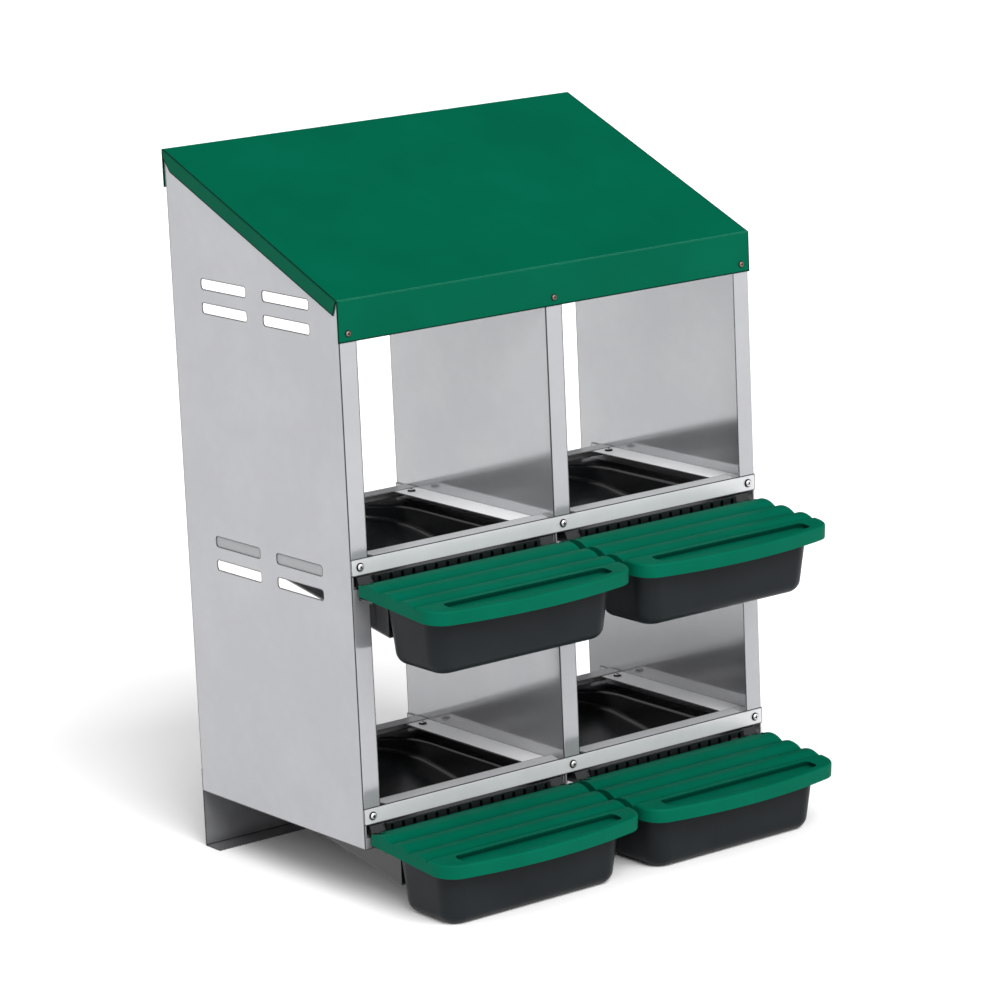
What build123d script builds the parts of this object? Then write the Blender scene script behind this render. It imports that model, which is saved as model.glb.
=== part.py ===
from build123d import *
import os
from math import atan2, cos, degrees, radians, tan

os.makedirs("parts", exist_ok=True)

# Lengths are in millimetres. While the pieces are drawn, y runs from the front face of the posts
# towards the back, x from the middle of the body to the right and z up from the floor.

# Sheet metal body
sheet = 1.0
body_width = 600.0
body_depth = 337.0
foot_height = 70.0
lower_rail_top = 119.0
deck_pitch = 293.0
roof_front_height = 708.0
roof_rear_height = 851.0
post_width = 24.0
partition_left = -8.0
partition_inset = 24.0
bend_outside = 1.8
bend_inside = bend_outside - sheet
fit_gap = 0.3

# Roof cover
roof_front_flange = 48.0
roof_rear_flange = 46.0
roof_side_flange = 20.0
roof_hook_gap = 2.0
roof_corner_gap = 7.0
roof_rear_clip = 13.0
roof_screw_edge = 10.0

# Vent slots in the side panels
vent_length = 92.0
vent_height = 12.0
vent_corner = 3.5
vent_front = 57.0
vent_column_pitch = 126.0
vent_row_pitch = 28.5
vent_lower_centre = 291.0
vent_group_pitch = 308.0
vent_groups = 2
vent_columns = 2
vent_rows = 2

# Rails and rear foot
rail_face = 20.0
rail_flange = 22.0
rail_corner = 2.0
rail_end_slant = 6.0
rail_notch_gap = 1.5
rear_rail_inset = 44.0
rear_rail_web = 14.0
foot_flange = 30.0
foot_lap = 27.0
top_rail_web = 44.0
top_rail_flange = 12.0
end_tab = 20.0
end_tab_height = 16.0

# Runners that carry the nest pans, and the lugs of the rear rails under their rear ends
runner_drop = 6.0
runner_top_leg = 34.0
runner_bearing = 6.0
runner_play = 0.2
runner_screw_from_wall = 18.0
runner_screw_from_rail = 35.0
lug_half = 9.0

# Fasteners
screw_radius = 2.4
screw_length = 7.0
hole_radius = screw_radius + fit_gap
rail_head_radius = 5.0
rail_head_height = 3.4
roof_head_radius = 3.9
roof_head_height = 2.4
nut_across_flats = 8.0
nut_height = 3.2
nut_clearance = 0.1
nut_hole_radius = screw_radius + nut_clearance

# Nest pan, with heights measured down from the top of the front rail
pan_half = 140.0
pan_slide_gap = 1.5
pan_rim_top = -rail_face - pan_slide_gap
pan_wall = 2.5
pan_rim_depth = 12.5
pan_front = -1.5
pan_rear_gap = 7.0
pan_rear = body_depth - pan_rear_gap
pan_rear_corner = 14.0
tub_half = 119.0
tub_front = -30.0
tub_rear_flange = 18.0
tub_rear = pan_rear - tub_rear_flange
tub_rear_corner = 84.0
tub_front_depth = -95.0
tub_floor_slope = 9.4
tub_floor_round = 9.0
mouth_front = 10.0
mouth_round = 4.0
apron_foot_y = -6.5
apron_foot_z = -31.5
shelf_z = -45.0
egg_window_half = 86.0

# Lid hinge, shared by the pan ears, the lid and the tray rim
hinge_y = -17.5
hinge_z = -35.0
hinge_pin_radius = 2.5
hinge_clearance = 0.08
ear_inner = 134.0
ear_outer = pan_half
ear_radius = 5.5
ear_gap = 1.5
lid_fall = 5.0

# Studs that hold a tray on its pan
stud_x = 96.0
stud_z = -68.0
stud_radius = 4.0
stud_head_radius = 6.5
stud_head_height = 2.5
stud_clearance = 0.3

# Egg tray
tray_half = 132.0
tray_length = 106.0
tray_bottom = -lower_rail_top
tray_side_taper = 7.0
tray_front_taper = 5.0
tray_corner = 24.0
tray_bottom_round = 16.0
tray_wall = 2.5
tray_lip = 4.0
tray_lip_height = 3.0
tray_lid_gap = 0.3

# Egg lid
lid_half = 145.0
lid_rear = -11.0
lid_top = -29.0
lid_wall = 2.2
lid_skirt = 12.5
lid_side_end = -150.0
lid_nose = -166.0
lid_corner = 29.0
rib_count = 3
rib_pitch = 35.0
rib_first = 19.0
rib_half_chord = 16.5
rib_rise = 4.5
nose_start = -118.0
nose_rise = 4.0
nose_round = 3.0
recess_rear = -127.0
recess_front = -157.0
recess_side_front = -146.0
recess_half = 115.0
recess_corner = 6.0
recess_depth = 4.5

# Values that follow from the sizes above
half_width = body_width / 2
roof_half = half_width + fit_gap + sheet
roof_front_face = -sheet
roof_rear_face = body_depth + 2 * sheet + roof_hook_gap
roof_angle = degrees(atan2(roof_rear_height - roof_front_height, roof_rear_face - roof_front_face))
roof_slope = tan(radians(roof_angle))
roof_drop = sheet / cos(radians(roof_angle))
decks = {"upper": lower_rail_top + deck_pitch, "lower": lower_rail_top}
partition_right = partition_left + sheet
partition_rear = body_depth - partition_inset
wall_inner = half_width - sheet
compartments = {"left": (-wall_inner, partition_left), "right": (partition_right, wall_inner)}
unit_x = {side: (low + high) / 2 for side, (low, high) in compartments.items()}
pan_skirt_bottom = pan_rim_top - pan_rim_depth
runner_seat = pan_skirt_bottom - runner_play
post_spans = [(-half_width, -half_width + post_width),
              (partition_left, partition_left + post_width),
              (half_width - post_width, half_width)]
post_screw_x = [(low + high) / 2 for low, high in post_spans]
roof_screw_z = roof_front_height - roof_front_flange + roof_screw_edge
rear_rail_front = body_depth - rear_rail_inset
runner_screw_y = rear_rail_front - runner_screw_from_rail


def roof_underside(y):
    """Height of the underside of the roof sheet at a depth."""
    return roof_front_height + (y - roof_front_face) * roof_slope - roof_drop


def block(x_span, y_span, z_span):
    """Rectangular solid between two corners, used for cuts and small tabs."""
    spans = (x_span, y_span, z_span)
    centre = [(low + high) / 2 for low, high in spans]
    return Pos(*centre) * Box(*[high - low for low, high in spans])


def side_profile(points, x_span):
    """Solid with a profile drawn in y and z, run from one x to another."""
    face = Plane.YZ.offset(x_span[0]) * make_face(Polyline(*points, close=True))
    return extrude(face, x_span[1] - x_span[0])


def folded_face(points, folds):
    """Outline of a sheet section with its folds rounded; folds holds point indexes and radii."""
    face = make_face(Polyline(*points, close=True))
    for index, radius in folds:
        corner = face.vertices().sort_by_distance((*points[index], 0))[0]
        face = fillet(corner, radius)
    return face


def folded_section(points, outer_corner, inner_corner, x_span):
    """Sheet section in y and z with one fold, run across the body.

    The two corner arguments are the indexes of the points at the outside and inside of the fold.
    """
    face = folded_face(points, ((outer_corner, bend_outside), (inner_corner, bend_inside)))
    return extrude(Plane.YZ.offset(x_span[0]) * face, x_span[1] - x_span[0])


def cross_hole(x, z, y_span, radius):
    """Round hole through a sheet that faces the front."""
    length = y_span[1] - y_span[0]
    return Pos(x, (y_span[0] + y_span[1]) / 2, z) * Rot(X=90) * Cylinder(radius, length)


def post_cuts(span):
    """Screw holes in the post flange that fills a span in x."""
    middle = (span[0] + span[1]) / 2
    through = (-sheet, 2 * sheet)
    cuts = cross_hole(middle, roof_screw_z, through, hole_radius)
    for top in decks.values():
        cuts += cross_hole(middle, top - rail_face / 2, through, hole_radius)
    return cuts


def pan_notches(span):
    """Gaps in a post flange below the front rails, through which the pan rims pass."""
    x_span = (span[0] + 2 * bend_outside, span[1])
    notches = [
        block(x_span, (-sheet, 2 * sheet), (top + runner_seat - fit_gap, top - rail_face))
        for top in decks.values()
    ]
    return notches[0] + notches[1]


def wall_panel(span, rear):
    """Upright sheet with a post flange folded to the right at the front and a sloped top edge."""
    left, right = span
    plan = [(left, rear), (left, 0), (right, 0), (right, sheet),
            (left + sheet, sheet), (left + sheet, rear)]
    face = folded_face(plan, ((1, bend_outside), (4, bend_inside)))
    height = roof_rear_height - foot_height
    panel = extrude(Plane.XY.offset(foot_height) * face, height)
    relief = roof_underside(0) - 2 * bend_inside
    slope_start = sheet + 2 * bend_inside
    above = [(-sheet, relief), (sheet, relief), (slope_start, roof_underside(slope_start)),
             (rear + sheet, roof_underside(rear + sheet)), (rear + sheet, 2 * roof_rear_height),
             (-sheet, 2 * roof_rear_height)]
    panel -= side_profile(above, (left - sheet, right + sheet))
    return panel - post_cuts(span) - pan_notches(span)


def left_side_panel():
    """Side wall with vent slots."""
    panel = wall_panel(post_spans[0], body_depth)
    slots = Sketch() + [
        Pos(y, z) * RectangleRounded(vent_length, vent_height, vent_corner)
        for z in (foot_height + vent_lower_centre + group * vent_group_pitch + row * vent_row_pitch
                  for group in range(vent_groups) for row in range(vent_rows))
        for y in (vent_front + vent_length / 2 + column * vent_column_pitch
                  for column in range(vent_columns))
    ]
    return panel - extrude(Plane.YZ.offset(-half_width - sheet) * slots, 3 * sheet)


def centre_partition():
    """Middle wall between the compartments."""
    return wall_panel(post_spans[1], partition_rear)


def roof_cover():
    """Sloped sheet with flanges on all four sides and open corners."""
    section = [
        (roof_front_face, roof_front_height - roof_front_flange),
        (roof_front_face, roof_front_height),
        (roof_rear_face, roof_rear_height),
        (roof_rear_face, roof_rear_height - roof_rear_flange),
        (roof_rear_face - sheet, roof_rear_height - roof_rear_flange),
        (roof_rear_face - sheet, roof_underside(roof_rear_face - sheet)),
        (roof_front_face + sheet, roof_underside(roof_front_face + sheet)),
        (roof_front_face + sheet, roof_front_height - roof_front_flange),
    ]
    face = folded_face(section, ((1, bend_outside), (2, bend_outside), (5, bend_inside), (6, bend_inside)))
    roof = extrude(Plane.YZ.offset(-roof_half) * face, 2 * roof_half)
    front = roof_front_face + bend_outside
    rear = roof_rear_face - bend_outside
    side = [
        (front, roof_underside(front)),
        (rear, roof_underside(rear)),
        (rear, roof_underside(rear) - roof_side_flange / 2),
        (rear - roof_rear_clip, roof_underside(rear - roof_rear_clip) - roof_side_flange),
        (front + roof_corner_gap, roof_underside(front + roof_corner_gap) - roof_side_flange),
    ]
    flange = side_profile(side, (-roof_half, -roof_half + sheet))
    roof += flange
    roof += mirror(flange, about=Plane.YZ)
    for x in post_screw_x:
        roof -= cross_hole(x, roof_screw_z, (-2 * sheet, sheet), hole_radius)
    return roof


def front_rail(top):
    """Angle across the posts, its top flange cut away with slanted ends at each post."""
    section = [(-sheet, top - rail_face), (-sheet, top), (rail_flange, top),
               (rail_flange, top - sheet), (0, top - sheet), (0, top - rail_face)]
    rail = folded_section(section, 1, 4, (-half_width, half_width))
    for low, high in post_spans:
        low_edge = low - rail_notch_gap
        high_edge = high + rail_notch_gap
        notch = make_face(Polyline(
            (low_edge - rail_end_slant, 0), (high_edge + rail_end_slant, 0),
            (high_edge, rail_flange), (low_edge, rail_flange), close=True))
        rail -= extrude(Plane.XY.offset(top - 2 * bend_outside) * notch, 3 * bend_outside)
        rail -= cross_hole((low + high) / 2, top - rail_face / 2, (-2 * sheet, sheet), hole_radius)
    ends = [edge for edge in rail.edges().filter_by(Axis.Y)
            if abs(abs(edge.center().X) - half_width) < sheet / 2
            and abs(edge.center().Z - (top - rail_face)) < sheet / 2]
    return fillet(ends, rail_corner)


def end_tabs(z_low, z_high):
    """Pair of tabs that lie on the inner faces of the side panels at the rear."""
    tab = block((-wall_inner, -wall_inner + sheet), (body_depth - end_tab, body_depth), (z_low, z_high))
    return tab + mirror(tab, about=Plane.YZ)


def rear_rail(side, top):
    """Angle across the rear of a compartment, with a lug under each runner and tabs on their webs."""
    low_wall, high_wall = compartments[side]
    seat = top - runner_drop
    high = seat + sheet
    low = high - rear_rail_web
    rear = rear_rail_front + sheet
    front = rear_rail_front - rail_flange
    section = [(rear, low), (rear, high), (front, high), (front, seat),
               (rear_rail_front, seat), (rear_rail_front, low)]
    rail = folded_section(section, 1, 4, (low_wall + sheet, high_wall - sheet))
    for face, turn in ((low_wall, 1), (high_wall, -1)):
        tab_x = sorted((face + turn * sheet, face + turn * 2 * sheet))
        rail += block(tab_x, (rear_rail_front, rear_rail_front + end_tab), (low, seat))
        x = face + turn * runner_screw_from_wall
        lug_y = (runner_screw_y - lug_half, rear_rail_front + sheet / 2)
        rail += block((x - lug_half, x + lug_half), lug_y, (seat - 2 * sheet, seat - sheet))
        rail -= Pos(x, runner_screw_y, seat) * Cylinder(hole_radius, 6 * sheet)
    return rail


def rear_foot():
    """Sheet leg across the back, folded forward on the floor."""
    rear = body_depth + sheet
    top = foot_height + foot_lap
    section = [(rear, top), (rear, 0), (rear - foot_flange, 0), (rear - foot_flange, sheet),
               (body_depth, sheet), (body_depth, top)]
    leg = folded_section(section, 1, 4, (-half_width, half_width))
    return leg + end_tabs(top - end_tab_height, top)


def rear_top_rail():
    """Angle across the back under the roof."""
    rear = body_depth + sheet
    top = roof_underside(body_depth)
    low = top - top_rail_web
    front = body_depth - top_rail_flange
    section = [(rear, top), (rear, low), (front, low), (front, low + sheet),
               (body_depth, low + sheet), (body_depth, top)]
    rail = folded_section(section, 1, 4, (-half_width, half_width))
    for x_span in ((-half_width, -wall_inner), (wall_inner, half_width)):
        rail -= block(x_span, (front - sheet, body_depth), (low, top))
    return rail + end_tabs(top - end_tab - end_tab_height, top - end_tab)


def runner_walls():
    """Wall face, direction away from it and pan gap for the runners on each side of a compartment."""
    walls = {}
    for side, (low, high) in compartments.items():
        gap = (high - low) / 2 - pan_half
        near = ("outer", "inner") if side == "left" else ("inner", "outer")
        walls[side, near[0]] = (low, 1, gap)
        walls[side, near[1]] = (high, -1, gap)
    return walls


def runner_screw_positions():
    """X positions of the screws at the rear ends of the runners."""
    return [face + turn * runner_screw_from_wall for face, turn, gap in runner_walls().values()]


def runner(face, turn, gap, top):
    """Channel on a wall: the lower leg carries the pan rim, the upper leg covers its edge."""
    high = top - runner_drop
    seat = top + runner_seat
    reach = gap + runner_bearing
    points = [(0, high), (runner_top_leg, high), (runner_top_leg, high - sheet), (sheet, high - sheet),
              (sheet, seat), (reach, seat), (reach, seat - sheet), (0, seat - sheet)]
    section = make_face(Polyline(*[(face + turn * u, v) for u, v in points], close=True))
    front = sheet + bend_inside
    body = extrude(Plane.XZ.offset(-front) * section, -(partition_rear - front))
    leg_x = sorted((face + turn * sheet, face + turn * (runner_top_leg + sheet)))
    for y_span in ((0, screw_length + sheet), (rear_rail_front - 2 * bend_inside, body_depth)):
        body -= block(leg_x, y_span, (high - 2 * sheet, high + sheet))
    screw_x = face + turn * runner_screw_from_wall
    return body - Pos(screw_x, runner_screw_y, high) * Cylinder(hole_radius, 4 * sheet)


def screw(head_radius, head_height):
    """Pan head screw that points down z with its head seated on the xy plane."""
    rim = head_height / 2
    crown = head_radius - rim
    outline = Polyline((0, head_height), (crown, head_height), (head_radius, rim), (head_radius, 0),
                       (screw_radius, 0), (screw_radius, -screw_length), (0, -screw_length), close=True)
    return revolve(Plane.XZ * make_face(outline), Axis.Z)


def nut():
    """Hexagon nut that sits below the xy plane."""
    hexagon = RegularPolygon(nut_across_flats / 2, 6, major_radius=False) - Circle(nut_hole_radius)
    return extrude(hexagon, -nut_height)


def facing_front(x, y, z):
    """Place for a fastener whose head faces the front."""
    return Pos(x, y, z) * Rot(X=90)


def group(shapes):
    """Several separate solids kept together under one name."""
    return Compound(children=[solid for shape in shapes for solid in shape.solids()])


def floor_line(y, lift):
    """Height of the tilted pan floor at a depth, raised by a wall thickness."""
    slope = tan(radians(tub_floor_slope))
    return tub_front_depth + (y - tub_front) * slope + lift / cos(radians(tub_floor_slope))


def tub(half, front, rear, corner, lift, floor_round):
    """Deep tub with round rear corners, a tilted floor and a rounded floor edge."""
    low = tub_front_depth - pan_wall
    outline = Pos(0, (front + rear) / 2) * Rectangle(2 * half, rear - front)
    outline = fillet(outline.vertices().group_by(Axis.Y)[-1], corner)
    shape = extrude(Plane.XY.offset(low) * outline, pan_rim_top - low)
    before = front - corner
    behind = rear + corner
    below = [(before, floor_line(before, lift)), (behind, floor_line(behind, lift)),
             (behind, 2 * low), (before, 2 * low)]
    shape -= side_profile(below, (-2 * half, 2 * half))
    return fillet(shape.faces().sort_by(Axis.Z)[0].edges(), floor_round)


def pan_cavity():
    """Hollow of the pan: open above the bowl, low under the front shelf, open to the tray."""
    hollow = tub(tub_half - pan_wall, tub_front + pan_wall, tub_rear - pan_wall,
                 tub_rear_corner - pan_wall, pan_wall, tub_floor_round - pan_wall)
    far = tub_rear + pan_wall
    deep = tub_front_depth - tub_floor_round
    inner_apron = apron_foot_y + pan_wall
    limit = [
        (mouth_front, pan_wall), (mouth_front, pan_rim_top - 2 * mouth_round),
        (inner_apron, pan_rim_top - 2 * mouth_round - (mouth_front - inner_apron)),
        (inner_apron, shelf_z - pan_wall), (tub_front, shelf_z - pan_wall), (tub_front, deep),
        (far, deep), (far, pan_wall),
    ]
    hollow &= side_profile(limit, (-tub_half, tub_half))
    throat = side_profile(
        [(tub_front - pan_wall, floor_line(tub_front - pan_wall, pan_wall)),
         (inner_apron, floor_line(inner_apron, pan_wall)),
         (inner_apron, shelf_z - pan_wall), (tub_front - pan_wall, shelf_z - pan_wall)],
        (-egg_window_half, egg_window_half))
    return hollow + throat


def pan_bridge():
    """Sloped apron, drop and shelf that join the pan rim to the front wall below the lid hinge."""
    inner_apron = apron_foot_y + pan_wall
    points = [
        (pan_front, pan_rim_top), (apron_foot_y, apron_foot_z), (apron_foot_y, shelf_z),
        (tub_front, shelf_z), (tub_front, shelf_z - pan_wall), (inner_apron, shelf_z - pan_wall),
        (inner_apron, pan_skirt_bottom), (mouth_front, pan_rim_top - pan_wall), (mouth_front, pan_rim_top),
    ]
    return side_profile(points, (-pan_half, pan_half))


def pan_ear():
    """Ear beside the apron with the hole for a lid pin."""
    root = apron_foot_y + pan_wall
    points = [(root, hinge_z + ear_radius), (hinge_y, hinge_z + ear_radius),
              (hinge_y, hinge_z - ear_radius), (root, shelf_z)]
    ear = side_profile(points, (ear_inner, ear_outer))
    across = Pos((ear_inner + ear_outer) / 2, hinge_y, hinge_z) * Rot(Y=90)
    ear += across * Cylinder(ear_radius, ear_outer - ear_inner)
    return ear - across * Cylinder(hinge_pin_radius + hinge_clearance, 2 * (ear_outer - ear_inner))


def nest_pan():
    """Moulded pan: rim with a turned down skirt, bowl, egg chute, hinge ears and tray studs."""
    outline = Pos(0, (pan_front + pan_rear) / 2) * Rectangle(2 * pan_half, pan_rear - pan_front)
    outline = fillet(outline.vertices().group_by(Axis.Y)[-1], pan_rear_corner)
    inner = offset(outline, -pan_wall)
    rim = extrude(Plane.XY.offset(pan_rim_top - pan_wall) * outline, pan_wall)
    skirt = extrude(Plane.XY.offset(pan_skirt_bottom) * (outline - inner), pan_rim_depth)
    shell = tub(tub_half, tub_front, tub_rear, tub_rear_corner, 0, tub_floor_round)
    shell -= block((-pan_half, pan_half), (2 * tub_front, apron_foot_y), (shelf_z, 0))
    ear = pan_ear()
    pan = rim + skirt + shell + pan_bridge() - pan_cavity() + ear + mirror(ear, about=Plane.YZ)
    top = pan.faces().filter_by(Axis.Z).sort_by(Axis.Z)[-1]
    pan = fillet(top.inner_wires()[0].edges(), mouth_round)
    head_back = tub_front - tray_wall - stud_clearance
    for x in (-stud_x, stud_x):
        neck_length = tub_front + pan_wall / 2 - head_back
        pan += facing_front(x, head_back + neck_length / 2, stud_z) * Cylinder(stud_radius, neck_length)
        pan += facing_front(x, head_back - stud_head_height / 2, stud_z) * Cylinder(
            stud_head_radius, stud_head_height)
    return pan


def tilted(shape):
    """Turn a shape about the lid hinge by the fall of the closed lid."""
    return Pos(0, hinge_y, hinge_z) * Rot(X=lid_fall) * Pos(0, -hinge_y, -hinge_z) * shape


def tray_bucket(inset, corner, floor_round):
    """Tapered bucket with rounded corners and a rounded floor edge; inset gives its hollow."""
    low = tray_bottom + inset
    rim = lid_top - lid_wall
    half = tray_half - inset
    foot_half = half - (rim - low) * tan(radians(tray_side_taper))
    rear = tub_front - inset
    nose = tub_front - tray_length + inset
    foot_nose = nose + (rim - low) * tan(radians(tray_front_taper))
    bucket = side_profile([(rear, low), (rear, rim), (nose, rim), (foot_nose, low)], (-half, half))
    ends = make_face(Polyline((-half, rim), (half, rim), (foot_half, low), (-foot_half, low), close=True))
    bucket &= extrude(Plane.XZ.offset(-rear) * ends, rear - nose)
    upright = [edge for edge in bucket.edges() if edge.bounding_box().size.Z > (rim - low) / 2]
    bucket = fillet(upright, corner)
    return fillet(bucket.faces().sort_by(Axis.Z)[0].edges(), floor_round)


def egg_tray():
    """Open tray under the lid with a sloped rim, a rear window for eggs and two keyholes."""
    tray = tray_bucket(0, tray_corner, tray_bottom_round)
    hollow = tray_bucket(tray_wall, tray_corner - tray_wall, tray_bottom_round - tray_wall)
    rim_top = lid_top - lid_wall - tray_lid_gap
    lip_length = tray_length + tray_lip - tray_wall
    centre_y = tub_front - tray_wall - lip_length / 2
    lip = Pos(0, centre_y) * RectangleRounded(2 * (tray_half + tray_lip), lip_length, tray_corner)
    hole_length = tray_length - 2 * tray_wall - tray_lip
    hole = Pos(0, tub_front - tray_length / 2) * RectangleRounded(
        2 * (tray_half - tray_wall - tray_lip), hole_length, tray_corner - tray_wall)
    lip_ring = extrude(Plane.XY.offset(rim_top - tray_lip_height) * (lip - hole), tray_lip_height)
    above = block((-body_width, body_width), (-body_width, body_width), (rim_top, rim_top + body_width))
    tray = tray - tilted(above) + tilted(lip_ring) - hollow
    window = block((-egg_window_half, egg_window_half), (tub_front - 2 * tray_wall, tub_front + tray_wall),
                   (floor_line(tub_front, pan_wall), shelf_z - pan_wall))
    tray -= window
    for x in (-stud_x, stud_x):
        tray -= cross_hole(x, stud_z, (tub_front - 2 * tray_wall, tub_front + tray_wall),
                           stud_radius + stud_clearance)
    return tray


def lid_outline():
    """Plan of the lid: straight back and sides, round front corners and a bowed nose."""
    edges = Polyline((lid_half, lid_side_end), (lid_half, lid_rear), (-lid_half, lid_rear),
                     (-lid_half, lid_side_end))
    edges += ThreePointArc((-lid_half, lid_side_end), (0, lid_nose), (lid_half, lid_side_end))
    outline = make_face(edges)
    return fillet(outline.vertices().group_by(Axis.Y)[0], lid_corner)


def rib(y, base, half_chord, rise, reach):
    """Raised bar across the lid with the section of a circular segment."""
    segment = ThreePointArc((y - half_chord, base), (y, base + rise), (y + half_chord, base))
    segment += Line((y + half_chord, base), (y - half_chord, base))
    return extrude(Plane.YZ.offset(-reach) * make_face(segment), 2 * reach)


def recess_outline():
    """Plan of the finger recess: straight rear edge and a front edge that follows the nose."""
    edges = Polyline((recess_half, recess_side_front), (recess_half, recess_rear),
                     (-recess_half, recess_rear), (-recess_half, recess_side_front))
    edges += ThreePointArc((-recess_half, recess_side_front), (0, recess_front),
                           (recess_half, recess_side_front))
    outline = make_face(edges)
    return fillet(outline.vertices(), recess_corner)


def egg_lid():
    """Ribbed lid with a skirt, a raised nose, a finger recess and two hinge pins."""
    outline = lid_outline()
    inner = offset(outline, -lid_wall)
    forward = Pos(0, nose_start + lid_nose) * Rectangle(4 * lid_half, -2 * lid_nose)
    nose = outline & forward
    lid = extrude(Plane.XY.offset(lid_top - lid_skirt) * outline, lid_skirt)
    lid += extrude(Plane.XY.offset(lid_top) * nose, nose_rise)
    crown = lid.faces().filter_by(Axis.Z).sort_by(Axis.Z)[-1]
    lid = fillet(crown.edges(), nose_round)
    under = lid_top - lid_wall
    for number in range(rib_count):
        y = lid_rear - rib_first - number * rib_pitch
        lid += rib(y, lid_top, rib_half_chord, rib_rise, lid_half)
    open_rear = Pos(0, lid_rear) * Rectangle(2 * (lid_half - lid_wall), 4 * lid_wall)
    lid -= extrude(Plane.XY.offset(lid_top - 2 * lid_skirt) * (inner + open_rear), 2 * lid_skirt - lid_wall)
    for number in range(rib_count):
        y = lid_rear - rib_first - number * rib_pitch
        lid -= rib(y, under, rib_half_chord - lid_wall, rib_rise, lid_half - lid_wall)
    recess = recess_outline()
    pocket = offset(nose, -2 * lid_wall) - offset(recess, lid_wall)
    lid -= extrude(Plane.XY.offset(under) * pocket, nose_rise)
    crown_z = lid_top + nose_rise
    lid -= extrude(Plane.XY.offset(crown_z - recess_depth) * recess, recess_depth + lid_wall)
    for turn in (-1, 1):
        notch_x = sorted((turn * (ear_inner - ear_gap), turn * (ear_outer + ear_gap)))
        notch_y = (hinge_y - ear_radius - ear_gap, lid_rear + lid_wall)
        lid -= block(notch_x, notch_y, (lid_top - 2 * lid_skirt, lid_top + lid_skirt))
        pin_x = sorted((turn * (ear_inner + fit_gap), turn * (lid_half - lid_wall / 2)))
        pin = Pos((pin_x[0] + pin_x[1]) / 2, hinge_y, hinge_z) * Rot(Y=90)
        lid += pin * Cylinder(hinge_pin_radius, pin_x[1] - pin_x[0])
    return tilted(lid)


def front_fasteners():
    """Screws and nuts on the three posts: two front rails and the roof cover."""
    rail_places = [(x, top - rail_face / 2) for top in decks.values() for x in post_screw_x]
    roof_places = [(x, roof_screw_z) for x in post_screw_x]
    rail_screw = screw(rail_head_radius, rail_head_height)
    roof_screw = screw(roof_head_radius, roof_head_height)
    plain_nut = nut()
    return {
        "front_rail_screws": [facing_front(x, -sheet, z) * rail_screw for x, z in rail_places],
        "front_rail_nuts": [facing_front(x, sheet, z) * plain_nut for x, z in rail_places],
        "roof_screws": [facing_front(x, roof_front_face, z) * roof_screw for x, z in roof_places],
        "roof_nuts": [facing_front(x, sheet, z) * plain_nut for x, z in roof_places],
    }


def runner_fasteners():
    """Screws and nuts at the rear ends of the runners."""
    places = [(x, top) for top in decks.values() for x in runner_screw_positions()]
    runner_screw = screw(rail_head_radius, rail_head_height)
    plain_nut = nut()
    below = runner_drop + 2 * sheet
    return {
        "runner_screws": [Pos(x, runner_screw_y, top - runner_drop) * runner_screw for x, top in places],
        "runner_nuts": [Pos(x, runner_screw_y, top - below) * plain_nut for x, top in places],
    }


left_panel = left_side_panel()
nodes = {
    "left_side_panel": left_panel,
    "right_side_panel": mirror(left_panel, about=Plane.YZ),
    "centre_partition": centre_partition(),
    "roof_cover": roof_cover(),
    "rear_top_rail": rear_top_rail(),
    "rear_foot": rear_foot(),
}
pan = nest_pan()
tray = egg_tray()
lid = egg_lid()
for deck, top in decks.items():
    nodes[f"{deck}_front_rail"] = front_rail(top)
    for (side, place), (face, turn, gap) in runner_walls().items():
        nodes[f"{deck}_{side}_{place}_runner"] = runner(face, turn, gap, top)
    for side, x in unit_x.items():
        nodes[f"{deck}_{side}_rear_rail"] = rear_rail(side, top)
        nodes[f"{deck}_{side}_nest_pan"] = Pos(x, 0, top) * pan
        nodes[f"{deck}_{side}_egg_tray"] = Pos(x, 0, top) * tray
        nodes[f"{deck}_{side}_egg_lid"] = Pos(x, 0, top) * lid

# The saved frame has its origin on the floor, in the middle of the whole object
front_reach = lid.bounding_box().min.Y
origin_y = (front_reach + roof_rear_face) / 2
saved_place = Pos(0, -origin_y, 0)
for name, shape in nodes.items():
    export_step(saved_place * shape, f"parts/{name}.step")
for name, shapes in {**front_fasteners(), **runner_fasteners()}.items():
    export_step(group([saved_place * shape for shape in shapes]), f"parts/{name}.step")
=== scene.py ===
"""Looks of a four compartment nesting box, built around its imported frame."""

import logging
import math
from abc import ABC, abstractmethod
from dataclasses import dataclass, field
from enum import Enum
from typing import Any

import bmesh
import bpy
from mathutils import Matrix, Vector


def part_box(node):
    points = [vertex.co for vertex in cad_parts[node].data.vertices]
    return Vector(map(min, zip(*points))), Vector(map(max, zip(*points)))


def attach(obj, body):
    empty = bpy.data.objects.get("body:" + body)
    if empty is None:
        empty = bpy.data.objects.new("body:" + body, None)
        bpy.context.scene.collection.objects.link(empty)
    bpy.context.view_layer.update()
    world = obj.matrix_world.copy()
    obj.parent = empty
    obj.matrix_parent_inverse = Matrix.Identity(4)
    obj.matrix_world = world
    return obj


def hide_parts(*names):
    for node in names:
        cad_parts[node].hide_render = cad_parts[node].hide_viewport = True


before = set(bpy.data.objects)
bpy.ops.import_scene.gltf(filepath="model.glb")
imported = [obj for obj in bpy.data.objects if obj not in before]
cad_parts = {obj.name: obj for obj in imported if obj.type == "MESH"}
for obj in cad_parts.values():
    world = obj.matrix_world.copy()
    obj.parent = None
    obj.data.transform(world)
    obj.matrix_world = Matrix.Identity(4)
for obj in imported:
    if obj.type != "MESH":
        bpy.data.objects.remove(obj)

log = logging.getLogger("nesting_box")

MM = 0.001
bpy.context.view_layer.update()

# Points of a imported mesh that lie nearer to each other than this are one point
WELD = 1e-6
# Noise spends nearly all its values between these two
NOISE_LOW = 0.3
NOISE_HIGH = 0.7
# Share of each finer layer of noise
NOISE_FINE = 0.55
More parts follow.
